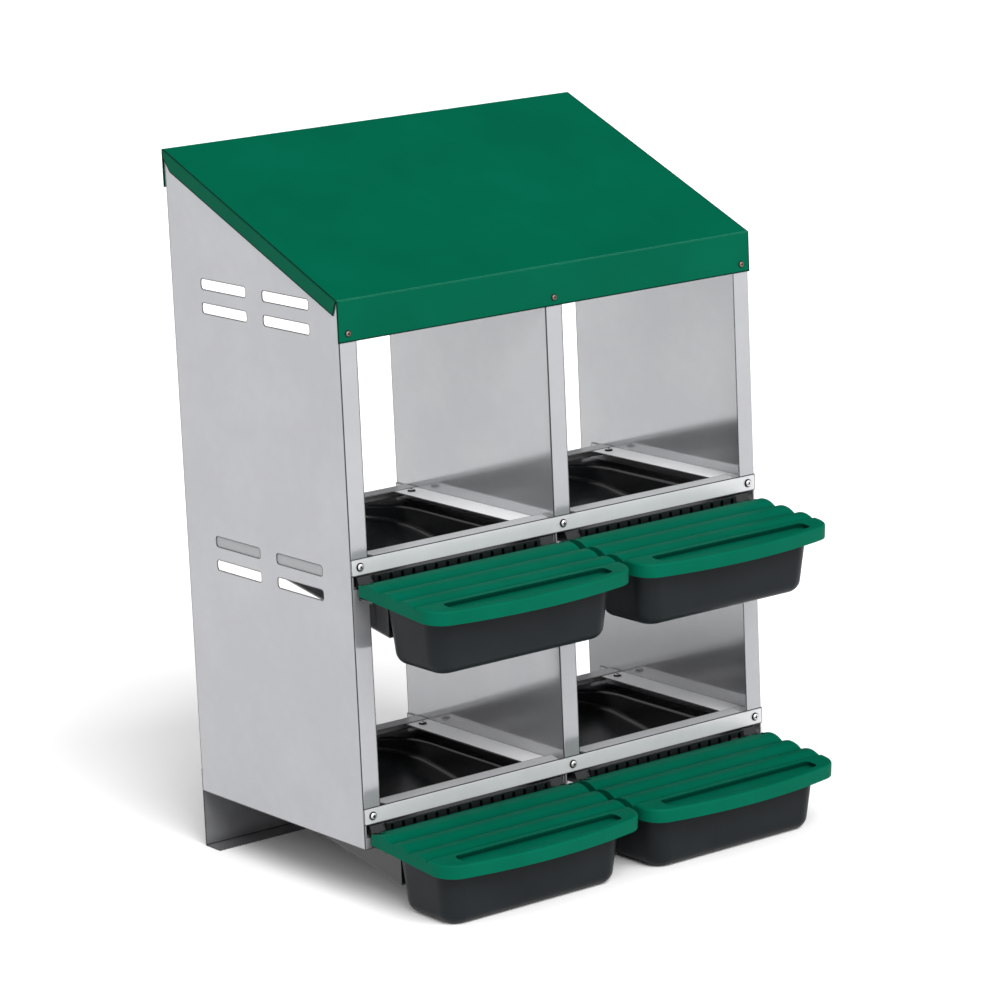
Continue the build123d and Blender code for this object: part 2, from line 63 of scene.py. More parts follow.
# Cosine of the turn at which an edge line starts to show, and at which it is full
EDGE_FAINT = 0.985
EDGE_FULL = 0.92
# The same for the largest part of the normal on the round of a fold
BEND_FAINT = 0.98
BEND_FULL = 0.9
# The same for the share of open sky in a crevice
CREVICE_FAINT = 0.97
CREVICE_FULL = 0.6
# Rays that feel for an edge and for a crevice around each point
EDGE_RAYS = 16
CREVICE_RAYS = 8
# Sockets of a Mix node that mixes colours
SHARE, UNDER, OVER, MIXED = 0, 6, 7, 2

Colour = tuple[float, float, float, float]
Socket = bpy.types.NodeSocket


class Deck(Enum):
    """The two floors of the box."""

    UPPER = "upper"
    LOWER = "lower"


class Side(Enum):
    """The two compartments on a floor."""

    LEFT = "left"
    RIGHT = "right"


class Facing(Enum):
    """The way a screw head looks."""

    FRONT = "front"
    UP = "up"


def linear(code: str) -> Colour:
    """Turn an sRGB hex colour into linear light.

    Args:
        code: Colour such as "#00694F".

    Returns:
        Red, green, blue and a full alpha, in linear light.
    """
    channels = [int(code[i:i + 2], 16) / 255 for i in (1, 3, 5)]
    red, green, blue = [c / 12.92 if c <= 0.04045 else ((c + 0.055) / 1.055) ** 2.4 for c in channels]
    return red, green, blue, 1.0


def add_node(tree: bpy.types.NodeTree, kind: str, settings: dict[str, Any] | None = None,
             inputs: dict[str | int, Any] | None = None) -> bpy.types.Node:
    """Add a node to a tree with its settings and links.

    Args:
        tree: Node tree that takes the node.
        kind: Blender's type name of the node.
        settings: Attributes to set on the node.
        inputs: Values, or output sockets to link, by input name or number.

    Returns:
        The new node.
    """
    node = tree.nodes.new(kind)
    for name, value in (settings or {}).items():
        setattr(node, name, value)
    for name, value in (inputs or {}).items():
        if isinstance(value, Socket):
            tree.links.new(value, node.inputs[name])
        else:
            node.inputs[name].default_value = value
    return node


def per_metre(size_mm: float) -> float:
    """Scale of a pattern whose features are size_mm wide, in object coordinates."""
    return 1.0 / (size_mm * MM)


class Finish(ABC):
    """A surface as it was made, turned into one Blender material."""

    name: str

    def material(self) -> bpy.types.Material:
        """Make the material, or return it if it is there already.

        Returns:
            The material with its node tree filled in.
        """
        found = bpy.data.materials.get(self.name)
        if found:
            return found
        made = bpy.data.materials.new(self.name)
        made.use_nodes = True
        tree = made.node_tree
        tree.nodes.clear()
        place = add_node(tree, "ShaderNodeTexCoord").outputs["Object"]
        shader = self.shade(tree, place)
        add_node(tree, "ShaderNodeOutputMaterial", inputs={"Surface": shader.outputs["BSDF"]})
        return made

    @abstractmethod
    def shade(self, tree: bpy.types.NodeTree, place: Socket) -> bpy.types.Node:
        """Fill the tree and return its Principled shader.

        Args:
            tree: Empty node tree of the material.
            place: Object coordinates in metres.

        Returns:
            The Principled BSDF node.
        """


def clouds(tree: bpy.types.NodeTree, place: Socket, size_mm: float, low: float, high: float,
           detail: float = 3.0) -> Socket:
    """Soft clouds of a real size, spread over a range of values.

    Args:
        tree: Node tree of the material.
        place: Object coordinates in metres.
        size_mm: Width of a cloud.
        low: Value in the thinnest places.
        high: Value in the thickest places.
        detail: Number of finer layers in the clouds.

    Returns:
        The value.
    """
    noise = add_node(tree, "ShaderNodeTexNoise", {},
                     {"Vector": place, "Scale": per_metre(size_mm), "Detail": detail,
                      "Roughness": NOISE_FINE})
    spread = add_node(tree, "ShaderNodeMapRange", {},
                      {"Value": noise.outputs["Fac"], "From Min": NOISE_LOW, "From Max": NOISE_HIGH,
                       "To Min": low, "To Max": high})
    return spread.outputs["Result"]


def clouded(tree: bpy.types.NodeTree, place: Socket, size_mm: float, light: str, dark: str) -> Socket:
    """Colour that drifts between two tones in soft clouds.

    Args:
        tree: Node tree of the material.
        place: Object coordinates in metres.
        size_mm: Width of a cloud.
        light: Hex colour of the ground.
        dark: Hex colour of the clouds.

    Returns:
        The colour.
    """
    share = clouds(tree, place, size_mm, 0.0, 1.0, 2.0)
    tones = add_node(tree, "ShaderNodeMix", {"data_type": "RGBA"},
                     {SHARE: share, UNDER: linear(light), OVER: linear(dark)})
    return tones.outputs[MIXED]


@dataclass(frozen=True)
class Grain:
    """Size, depth and strength of a fine relief."""

    size_mm: float
    depth_mm: float
    strength: float
    detail: float = 3.0


def relief(tree: bpy.types.NodeTree, place: Socket, grain: Grain) -> Socket:
    """Fine relief of a surface.

    Args:
        tree: Node tree of the material.
        place: Object coordinates in metres.
        grain: Size, depth and strength of the relief.

    Returns:
        The bent normal.
    """
    noise = add_node(tree, "ShaderNodeTexNoise", {},
                     {"Vector": place, "Scale": per_metre(grain.size_mm), "Detail": grain.detail,
                      "Roughness": NOISE_FINE})
    bump = add_node(tree, "ShaderNodeBump", {},
                    {"Height": noise.outputs["Fac"], "Distance": grain.depth_mm * MM,
                     "Strength": grain.strength})
    return bump.outputs["Normal"]


def edge_line(tree: bpy.types.NodeTree, radius_mm: float) -> tuple[Socket, Socket]:
    """Thin line along folds and cut edges, where a rounded normal leaves the flat one.

    Args:
        tree: Node tree of the material.
        radius_mm: Radius that rounds the normal at the edges.

    Returns:
        The line, 0 on flat sheet and 1 on an edge, and the rounded normal.
    """
    flat = add_node(tree, "ShaderNodeNewGeometry").outputs["Normal"]
    rounded = add_node(tree, "ShaderNodeBevel", {"samples": EDGE_RAYS},
                       {"Radius": radius_mm * MM}).outputs["Normal"]
    turn = add_node(tree, "ShaderNodeVectorMath", {"operation": "DOT_PRODUCT"}, {0: rounded, 1: flat})
    line = add_node(tree, "ShaderNodeMapRange", {},
                    {"Value": turn.outputs["Value"], "From Min": EDGE_FAINT, "From Max": EDGE_FULL,
                     "To Min": 0.0, "To Max": 1.0})
    return line.outputs["Result"], rounded


def bend_line(tree: bpy.types.NodeTree) -> Socket:
    """Line along the round of a square fold, where the face looks along none of the axes.

    Args:
        tree: Node tree of the material.

    Returns:
        The line, 0 on faces square to an axis and 1 on the round between them.
    """
    face = add_node(tree, "ShaderNodeNewGeometry").outputs["True Normal"]
    upright = add_node(tree, "ShaderNodeVectorMath", {"operation": "ABSOLUTE"}, {0: face}).outputs[0]
    part = add_node(tree, "ShaderNodeSeparateXYZ", {}, {"Vector": upright}).outputs
    level = add_node(tree, "ShaderNodeMath", {"operation": "MAXIMUM"}, {0: part["X"], 1: part["Y"]})
    most = add_node(tree, "ShaderNodeMath", {"operation": "MAXIMUM"}, {0: level.outputs[0], 1: part["Z"]})
    line = add_node(tree, "ShaderNodeMapRange", {},
                    {"Value": most.outputs[0], "From Min": BEND_FAINT, "From Max": BEND_FULL,
                     "To Min": 0.0, "To Max": 1.0})
    return line.outputs["Result"]


def crevices(tree: bpy.types.NodeTree, reach_mm: float) -> Socket:
    """Valleys and inner corners of a piece, as far as its own walls shade them.

    Args:
        tree: Node tree of the material.
        reach_mm: Distance over which a wall shades its neighbour.

    Returns:
        The depth, 0 on open surface and 1 deep in a corner.
    """
    open_share = add_node(tree, "ShaderNodeAmbientOcclusion", {"samples": CREVICE_RAYS, "only_local": True},
                          {"Distance": reach_mm * MM}).outputs["AO"]
    depth = add_node(tree, "ShaderNodeMapRange", {},
                     {"Value": open_share, "From Min": CREVICE_FAINT, "From Max": CREVICE_FULL,
                      "To Min": 0.0, "To Max": 1.0})
    return depth.outputs["Result"]


@dataclass(frozen=True)
class GalvanisedSheet(Finish):
    """Hot dip galvanised steel, skin passed: part mirror, part pale grey, so walls show what they face."""

    name: str
    light: str
    dark: str
    metallic: float
    roughness: float
    # Painted shade: thin dark lines along cut edges and folds, drawn wide enough to show
    edge: str = "#2A2B2D"
    edge_mm: float = 2.6
    # Zinc crystals stand out faintly from slow clouds of oxide
    crystal_mm: float = 16.0
    crystal_share: float = 0.2
    cloud_mm: float = 90.0
    dark_share: float = 0.7
    # The rolling marks are far under a millimetre wide, drawn coarser so that they break the gloss
    scratch_mm: float = 1.5
    scratch_spread: float = 0.03
    grain: Grain = Grain(1.2, 0.01, 0.06)

    def zinc(self, tree: bpy.types.NodeTree, place: Socket) -> Socket:
        """Colour of the zinc away from its edges: faint crystals in slow clouds.

        Args:
            tree: Node tree of the material.
            place: Object coordinates in metres.

        Returns:
            The colour.
        """
        crystals = add_node(tree, "ShaderNodeTexVoronoi", {},
                            {"Vector": place, "Scale": per_metre(self.crystal_mm)})
        oxide = add_node(tree, "ShaderNodeTexNoise", {},
                         {"Vector": place, "Scale": per_metre(self.cloud_mm), "Detail": 2.0,
                          "Roughness": NOISE_FINE})
        both = add_node(tree, "ShaderNodeMath", {"operation": "MULTIPLY_ADD"},
                        {0: crystals.outputs["Distance"], 1: self.crystal_share, 2: oxide.outputs["Fac"]})
        share = add_node(tree, "ShaderNodeMapRange", {},
                         {"Value": both.outputs[0], "From Min": NOISE_LOW, "From Max": NOISE_HIGH,
                          "To Min": 0.0, "To Max": self.dark_share})
        tones = add_node(tree, "ShaderNodeMix", {"data_type": "RGBA"},
                         {SHARE: share.outputs["Result"], UNDER: linear(self.light), OVER: linear(self.dark)})
        return tones.outputs[MIXED]

    def shade(self, tree: bpy.types.NodeTree, place: Socket) -> bpy.types.Node:
        """Thin oxide over bright zinc: part of the light scatters, the rest mirrors softly.

        Args:
            tree: Empty node tree of the material.
            place: Object coordinates in metres.

        Returns:
            The Principled BSDF node.
        """
        rough = clouds(tree, place, self.scratch_mm, self.roughness - self.scratch_spread,
                       self.roughness + self.scratch_spread)
        # Painted shade: dark lines along cut edges and folds
        cut = edge_line(tree, self.edge_mm)[0]
        line = add_node(tree, "ShaderNodeMath", {"operation": "MAXIMUM"}, {0: cut, 1: bend_line(tree)})
        colour = add_node(tree, "ShaderNodeMix", {"data_type": "RGBA"},
                          {SHARE: line.outputs[0], UNDER: self.zinc(tree, place), OVER: linear(self.edge)})
        return add_node(tree, "ShaderNodeBsdfPrincipled", {}, {
            "Base Color": colour.outputs[MIXED], "Metallic": self.metallic, "Roughness": rough,
            "Normal": relief(tree, place, self.grain)})


@dataclass(frozen=True)
class ShadePaintedSheet(GalvanisedSheet):
    """Galvanised sheet with painted shade on its outer faces and on faces that look to the front, while its
    inner faces stay pale.
    """

    # Colour that the zinc is multiplied by where the shade is painted
    shade_tone: str = "#E3E3E4"
    # Faces beyond this distance from the middle, or turned this far to the front, get the painted shade
    half_width_mm: float = 299.4
    front_turn: float = -0.5

    def zinc(self, tree: bpy.types.NodeTree, place: Socket) -> Socket:
        """Zinc with painted shade on the sides of the box and on faces that look to the front.

        Args:
            tree: Node tree of the material.
            place: Object coordinates in metres.

        Returns:
            The colour.
        """
        surface = add_node(tree, "ShaderNodeNewGeometry").outputs
        across = add_node(tree, "ShaderNodeSeparateXYZ", {}, {"Vector": surface["Position"]}).outputs["X"]
        aside = add_node(tree, "ShaderNodeMath", {"operation": "ABSOLUTE"}, {0: across}).outputs[0]
        outer = add_node(tree, "ShaderNodeMath", {"operation": "GREATER_THAN"},
                         {0: aside, 1: self.half_width_mm * MM}).outputs[0]
        facing = add_node(tree, "ShaderNodeSeparateXYZ", {}, {"Vector": surface["Normal"]}).outputs["Y"]
        front = add_node(tree, "ShaderNodeMath", {"operation": "LESS_THAN"},
                         {0: facing, 1: self.front_turn}).outputs[0]
        shade_share = add_node(tree, "ShaderNodeMath", {"operation": "MAXIMUM"}, {0: outer, 1: front}).outputs[0]
        shaded_zinc = add_node(tree, "ShaderNodeMix", {"data_type": "RGBA", "blend_type": "MULTIPLY"},
                          {SHARE: shade_share, UNDER: super().zinc(tree, place), OVER: linear(self.shade_tone)})
        return shaded_zinc.outputs[MIXED]


@dataclass(frozen=True)
class ShadePaintedRunner(GalvanisedSheet):
    """Galvanised runner with painted light and shade: its level legs stay bright and its upright web is painted
    dark.
    """

    # Painted shade on the upright web
    web: str = "#8C8D8F"

    def zinc(self, tree: bpy.types.NodeTree, place: Socket) -> Socket:
        """Bright zinc on level faces and painted shade on upright ones.

        Args:
            tree: Node tree of the material.
            place: Object coordinates in metres.

        Returns:
            The colour.
        """
        normal = add_node(tree, "ShaderNodeNewGeometry").outputs["Normal"]
        level = add_node(tree, "ShaderNodeSeparateXYZ", {}, {"Vector": normal}).outputs["Z"]
        share = add_node(tree, "ShaderNodeMath", {"operation": "ABSOLUTE"}, {0: level}).outputs[0]
        web_shade_share = add_node(tree, "ShaderNodeMath", {"operation": "SUBTRACT"}, {0: 1.0, 1: share}).outputs[0]
        shaded_runner = add_node(tree, "ShaderNodeMix", {"data_type": "RGBA"},
                        {SHARE: web_shade_share, UNDER: super().zinc(tree, place), OVER: linear(self.web)})
        return shaded_runner.outputs[MIXED]


@dataclass(frozen=True)
class PowderCoat(Finish):
    """Polyester powder coat on steel: an even satin green with a fine orange peel."""

    name: str = "powder_coated_steel_green"
    light: str = "#00503A"
    dark: str = "#004B36"
    drift_mm: float = 120.0
    # Painted highlight along the folds across the roof, and painted shade along its sides and lower edges
    fold_highlight: str = "#7CC4AE"
    fold_shade: str = "#00140F"
    edge_mm: float = 3.6
    # How much a fold's turn to the side counts against its turn upwards, and where the painted shade ends and
    # the painted highlight begins
    side_share: float = 2.5
    shade_below: float = 0.3
    highlight_above: float = 0.7
    # The real peel is under a millimetre wide, drawn coarser so that it shows
    peel: Grain = Grain(2.2, 0.04, 0.12, 1.0)
    roughness: float = 0.45
    gloss_mm: float = 25.0
    gloss_spread: tuple[float, float] = (-0.04, 0.05)
    ior: float = 1.5
    # Fillers in the coat keep its mirror part far below that of clear resin
    mirror: float = 0.02

    def edge_colour(self, tree: bpy.types.NodeTree, rounded: Socket) -> Socket:
        """Painted highlight on folds that face up and along the roof, painted shade on its sides and lower
        edges.

        Args:
            tree: Node tree of the material.
            rounded: Rounded normal of the surface.

        Returns:
            The colour of the edge lines.
        """
        part = add_node(tree, "ShaderNodeSeparateXYZ", {}, {"Vector": rounded}).outputs
        aside = add_node(tree, "ShaderNodeMath", {"operation": "ABSOLUTE"}, {0: part["X"]}).outputs[0]
        along = add_node(tree, "ShaderNodeMath", {"operation": "MULTIPLY_ADD"},
                         {0: aside, 1: -self.side_share, 2: part["Z"]}).outputs[0]
        share = add_node(tree, "ShaderNodeMapRange", {},
                         {"Value": along, "From Min": self.shade_below, "From Max": self.highlight_above,
                          "To Min": 0.0, "To Max": 1.0}).outputs["Result"]
        tones = add_node(tree, "ShaderNodeMix", {"data_type": "RGBA"},
                         {SHARE: share, UNDER: linear(self.fold_shade), OVER: linear(self.fold_highlight)})
        return tones.outputs[MIXED]

    def shade(self, tree: bpy.types.NodeTree, place: Socket) -> bpy.types.Node:
        """Even colour with a slow drift, edges with painted highlight and shade, and gloss that breaks on the
        peel.

        Args:
            tree: Empty node tree of the material.
            place: Object coordinates in metres.

        Returns:
            The Principled BSDF node.
        """
        coat = clouded(tree, place, self.drift_mm, self.light, self.dark)
        line, rounded = edge_line(tree, self.edge_mm)
        colour = add_node(tree, "ShaderNodeMix", {"data_type": "RGBA"},
                          {SHARE: line, UNDER: coat, OVER: self.edge_colour(tree, rounded)})
        low, high = (self.roughness + change for change in self.gloss_spread)
        rough = clouds(tree, place, self.gloss_mm, low, high)
        return add_node(tree, "ShaderNodeBsdfPrincipled", {}, {
            "Base Color": colour.outputs[MIXED], "Roughness": rough, "IOR": self.ior,
            "Specular IOR Level": self.mirror, "Normal": relief(tree, place, self.peel)})


@dataclass(frozen=True)
class MouldedPlastic(Finish):
    """Injection moulded polypropylene: a smooth skin with a soft gloss and faint flow clouds."""

    name: str
    light: str
    dark: str
    roughness: float
    # Share of the resin's own mirror part that the textured skin lets through
    mirror: float
    # Painted shade: valleys and corners get darker as far as the piece's own walls shade them
    crevice: str
    crevice_mm: float = 14.0
    ior: float = 1.49
    flow_mm: float = 60.0
    gloss_mm: float = 30.0
    gloss_spread: tuple[float, float] = (-0.015, 0.02)
    # Spark eroded mould texture is about a tenth of a millimetre, drawn coarser so that it shows
    texture: Grain = Grain(3.0, 0.01, 0.02, 1.0)

    def shade(self, tree: bpy.types.NodeTree, place: Socket) -> bpy.types.Node:
        """Smooth skin with a soft gloss, with painted shade in its valleys and corners.

        Args:
            tree: Empty node tree of the material.
            place: Object coordinates in metres.

        Returns:
            The Principled BSDF node.
        """
        skin = clouded(tree, place, self.flow_mm, self.light, self.dark)
        colour = add_node(tree, "ShaderNodeMix", {"data_type": "RGBA"},
                          {SHARE: crevices(tree, self.crevice_mm), UNDER: skin, OVER: linear(self.crevice)})
        low, high = (self.roughness + change for change in self.gloss_spread)
        rough = clouds(tree, place, self.gloss_mm, low, high, 1.0)
        return add_node(tree, "ShaderNodeBsdfPrincipled", {}, {
            "Base Color": colour.outputs[MIXED], "Roughness": rough, "IOR": self.ior,
            "Specular IOR Level": self.mirror, "Normal": relief(tree, place, self.texture)})


@dataclass(frozen=True)
class PlatedFastener(Finish):
    """Zinc plated and passivated steel: bright, slightly clouded metal."""

    name: str
    light: str
    dark: str
    roughness: float
    cloud_mm: float = 2.5
    gloss_mm: float = 1.2
    gloss_spread: tuple[float, float] = (-0.05, 0.08)

    def shade(self, tree: bpy.types.NodeTree, place: Socket) -> bpy.types.Node:
        """Bright metal with small clouds in its colour and gloss.

        Args:
            tree: Empty node tree of the material.
            place: Object coordinates in metres.

        Returns:
            The Principled BSDF node.
        """
        low, high = (self.roughness + change for change in self.gloss_spread)
        rough = clouds(tree, place, self.gloss_mm, low, high)
        return add_node(tree, "ShaderNodeBsdfPrincipled", {}, {
            "Base Color": clouded(tree, place, self.cloud_mm, self.light, self.dark),
            "Metallic": 1.0, "Roughness": rough})


@dataclass(frozen=True)
class ScrewShade(Finish):
    """Painted shade in a screw's recess and around its head: a dull dark film."""

    name: str = "painted_shade_on_plated_steel"
    light: str = "#222325"
    dark: str = "#161718"
    cloud_mm: float = 1.5
    roughness: float = 0.7
    ior: float = 1.45
    mirror: float = 0.15

    def shade(self, tree: bpy.types.NodeTree, place: Socket) -> bpy.types.Node:
        """Dull dark film with small paler clouds.

        Args:
            tree: Empty node tree of the material.
            place: Object coordinates in metres.

        Returns:
            The Principled BSDF node.
        """
        return add_node(tree, "ShaderNodeBsdfPrincipled", {}, {
            "Base Color": clouded(tree, place, self.cloud_mm, self.light, self.dark),
            "Roughness": self.roughness, "IOR": self.ior, "Specular IOR Level": self.mirror})


@dataclass(frozen=True)
class PaintedFloor(Finish):
    """Matt white studio floor with a barely visible roller texture."""

    name: str = "matt_white_studio_floor"
    light: str = "#FBFBFB"
    dark: str = "#F7F7F7"
    drift_mm: float = 400.0
    roughness: float = 0.9
    roller: Grain = Grain(6.0, 0.05, 0.1)

    def shade(self, tree: bpy.types.NodeTree, place: Socket) -> bpy.types.Node:
        """Matt white that drifts very slightly.

        Args:
            tree: Empty node tree of the material.
            place: Object coordinates in metres.

        Returns:
            The Principled BSDF node.
        """
        return add_node(tree, "ShaderNodeBsdfPrincipled", {}, {
            "Base Color": clouded(tree, place, self.drift_mm, self.light, self.dark),
            "Roughness": self.roughness, "Normal": relief(tree, place, self.roller)})


# Walls and posts: a pale grey skin with soft mirror images of the decks, and painted shade on their outer and
# front faces
GALVANISED = ShadePaintedSheet("galvanised_steel_skin_passed", "#B8B9BB", "#B0B1B4", 0.52, 0.10)
# Rear foot: a darker, duller copy of the zinc, its darker colour painted shade all over
FOOT_ZINC = GalvanisedSheet("galvanised_steel_foot_painted_shade", "#8F9092", "#7C7D80", 0.5, 0.22)
# Rails: even, pale and nearly matt, so that they stand out from the walls
RAIL_ZINC = GalvanisedSheet("galvanised_steel_matt_rolled", "#C2C3C5", "#B8B9BB", 0.3, 0.3)
# Runners: the palest metal on their level legs, with painted shade on their upright webs
RUNNER_ZINC = ShadePaintedRunner("galvanised_steel_painted_light_and_shade", "#F6F6F7", "#EEEFF0", 0.1, 0.34)
# Roof: deep green with hardly any gloss, a painted highlight along its front fold and painted shade along its
# side folds
ROOF_GREEN = PowderCoat()
# Lids: nearly the roof's green, with painted shade in the valleys between the ribs
LID_GREEN = MouldedPlastic("moulded_polypropylene_green", "#005440", "#004F3B", 0.5, 0.025, "#002A20")
# Pans: a deep gloss black that mirrors the light along its curves, with painted shade in its corners
PAN_BLACK = MouldedPlastic("moulded_polypropylene_black", "#131516", "#0F1112", 0.24, 0.5, "#050606")
# Trays: charcoal, a shade paler than the pans and nearly matt, with painted shade in their corners
TRAY_BLACK = MouldedPlastic("moulded_polypropylene_black_fine_texture", "#1D2022", "#191C1E", 0.36, 0.07,
                            "#0C0D0E")
# Screws and nuts of the body: grey metal with bright glints
ZINC = PlatedFastener("zinc_plated_steel", "#727476", "#626466", 0.42)
# Roof screws: a warmer metal against the green
ROOF_ZINC = PlatedFastener("yellow_passivated_zinc", "#8A7468", "#776358", 0.4)
# Painted shade: the dark cross in the recess and the dark ring around the rim, that let a small bright head be
# read from afar
SCREW_SHADE = ScrewShade()


@dataclass
class EdgeSoftener:
    """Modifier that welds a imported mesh, rounds its shading and breaks its sharp edges."""

    edge_mm: float
    crease_deg: float = 28.0
    bevel_deg: float = 50.0
    segments: int = 2
    weld_m: float = 2e-6

    def shading_group(self) -> bpy.types.NodeTree:
        """Geometry node group that welds points and smooths faces up to the crease angle.

        Returns:
            The node group, made once for each crease angle.
        """
        name = f"soft_shading_{self.crease_deg:.0f}"
        found = bpy.data.node_groups.get(name)
        if found:
            return found
        tree = bpy.data.node_groups.new(name, "GeometryNodeTree")
        tree.interface.new_socket("Geometry", in_out="INPUT", socket_type="NodeSocketGeometry")
        tree.interface.new_socket("Geometry", in_out="OUTPUT", socket_type="NodeSocketGeometry")
        source = add_node(tree, "NodeGroupInput").outputs[0]
        bare = add_node(tree, "GeometryNodeRemoveAttribute", {},
                        {"Geometry": source, "Name": "custom_normal"}).outputs[0]
        welded = add_node(tree, "GeometryNodeMergeByDistance", {},
                          {"Geometry": bare, "Distance": self.weld_m}).outputs[0]
        smooth = add_node(tree, "GeometryNodeSetShadeSmooth", {"domain": "FACE"},
                          {"Geometry": welded, "Shade Smooth": True}).outputs[0]
        angle = add_node(tree, "GeometryNodeInputMeshEdgeAngle").outputs["Unsigned Angle"]
        sharp = add_node(tree, "FunctionNodeCompare", {"operation": "GREATER_THAN"},
                         {0: angle, 1: math.radians(self.crease_deg)}).outputs[0]
        creased = add_node(tree, "GeometryNodeSetShadeSmooth", {"domain": "EDGE"},
                           {"Geometry": smooth, "Selection": sharp, "Shade Smooth": False}).outputs[0]
        add_node(tree, "NodeGroupOutput", {}, {0: creased})
        return tree

    def apply_to(self, obj: bpy.types.Object) -> None:
        """Put the modifiers on an object.

        Args:
            obj: Mesh object to soften.
        """
        shading = obj.modifiers.new("soft_shading", "NODES")
        shading.node_group = self.shading_group()
        if self.edge_mm > 0:
            bevel = obj.modifiers.new("broken_edges", "BEVEL")
            bevel.width = self.edge_mm * MM
            bevel.segments = self.segments
            bevel.limit_method = "ANGLE"
            bevel.angle_limit = math.radians(self.bevel_deg)
            bevel.harden_normals = True
            bevel.use_clamp_overlap = True


def dress(node: str, finish: Finish, softener: EdgeSoftener) -> None:
    """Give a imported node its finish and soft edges.

    Args:
        node: Name of the node.
        finish: Finish that covers it.
        softener: Modifiers for its edges.
    """
    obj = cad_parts[node]
    obj.data.materials.clear()
    obj.data.materials.append(finish.material())
    softener.apply_to(obj)
    log.info("dressed %s in %s", node, finish.name)


def islands(node: str) -> list[tuple[Vector, Vector]]:
    """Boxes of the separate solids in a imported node.

    Args:
        node: Name of the node.

    Returns:
        Lowest and highest corner of each solid, ordered by height and then from left to right.
    """
    mesh = bmesh.new()
    mesh.from_mesh(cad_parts[node].data)
    bmesh.ops.remove_doubles(mesh, verts=mesh.verts, dist=WELD)
    left = set(mesh.verts)
    boxes = []
    while left:
        reached = [left.pop()]
        corners = [reached[0].co.copy(), reached[0].co.copy()]
        while reached:
            vert = reached.pop()
            for axis in range(3):
                corners[0][axis] = min(corners[0][axis], vert.co[axis])
                corners[1][axis] = max(corners[1][axis], vert.co[axis])
            for edge in vert.link_edges:
                other = edge.other_vert(vert)
                if other in left:
                    left.remove(other)
                    reached.append(other)
        boxes.append((corners[0], corners[1]))
    mesh.free()
    return sorted(boxes, key=lambda box: (round(box[0].z, 3), round(box[0].x, 3), round(box[0].y, 3)))


def mesh_object(name: str, mesh: bmesh.types.BMesh) -> bpy.types.Object:
    """Turn a bmesh into a linked object and free it.

    Args:
        name: Name of the object.
        mesh: Mesh to keep.

    Returns:
        The new object.
    """
    data = bpy.data.meshes.new(name)
    mesh.to_mesh(data)
    mesh.free()
    obj = bpy.data.objects.new(name, data)
    bpy.context.scene.collection.objects.link(obj)
    return obj


def tapered_prism(plan: list[Vector], low: float, high: float, foot_scale: float) -> bmesh.types.BMesh:
    """Upright prism over a plan, narrower at its foot, in metres.

    Args:
        plan: Outline in millimetres, in order.
        low: Height of the foot in millimetres.
        high: Height of the top in millimetres.
        foot_scale: Size of the foot as a share of the top.

    Returns:
        Closed mesh of the prism.
    """
    mesh = bmesh.new()
    rings = []
    for height, scale in ((low, foot_scale), (high, 1.0)):
        rings.append([mesh.verts.new((p.x * scale * MM, p.y * scale * MM, height * MM)) for p in plan])
    for k in range(len(plan)):
        after = (k + 1) % len(plan)
        mesh.faces.new((rings[0][k], rings[0][after], rings[1][after], rings[1][k]))
    mesh.faces.new(list(reversed(rings[0])))
    mesh.faces.new(rings[1])
    bmesh.ops.recalc_face_normals(mesh, faces=mesh.faces)
    return mesh


def copies(one: bpy.types.Mesh, places: list[Matrix]) -> bmesh.types.BMesh:
    """Copies of one mesh at several places, joined in one mesh.

    Args:
        one: Mesh to copy, which is removed afterwards.
        places: Matrix of each copy.

    Returns:
        The joined mesh.
    """
    joined = bmesh.new()
    for place in places:
        moved = one.copy()
        moved.transform(place)
        joined.from_mesh(moved)
        bpy.data.meshes.remove(moved)
    bpy.data.meshes.remove(one)
    return joined


def cut_away(name: str, blank: bmesh.types.BMesh, cutter: bmesh.types.BMesh) -> bpy.types.Mesh:
    """Take a cutter's shape out of a blank.

    Args:
        name: Name of the piece that is cut.
        blank: Closed mesh of the piece.
        cutter: Closed mesh of what is taken out.

    Returns:
        The mesh that is left.
    """
    body = mesh_object(f"{name}_blank", blank)
    tool = mesh_object(f"{name}_cutter", cutter)
    cut = body.modifiers.new("cut", "BOOLEAN")
    cut.operation = "DIFFERENCE"
    cut.solver = "EXACT"
    cut.object = tool
    shaped = body.evaluated_get(bpy.context.evaluated_depsgraph_get())
    mesh = bpy.data.meshes.new_from_object(shaped)
    for spare in (body, tool):
        bpy.data.objects.remove(spare)
    return mesh


def stand_in(name: str, mesh: bpy.types.Mesh, node: str, body: str) -> bpy.types.Object:
    """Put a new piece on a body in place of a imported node.

    Args:
        name: Name of the piece.
        mesh: Its mesh, in place.
        node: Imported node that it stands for.
        body: Body that it rides on.

    Returns:
        The new object.
    """
    obj = bpy.data.objects.new(name, mesh)
    bpy.context.scene.collection.objects.link(obj)
    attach(obj, body)
    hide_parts(node)
    log.info("built %s", name)
    return obj


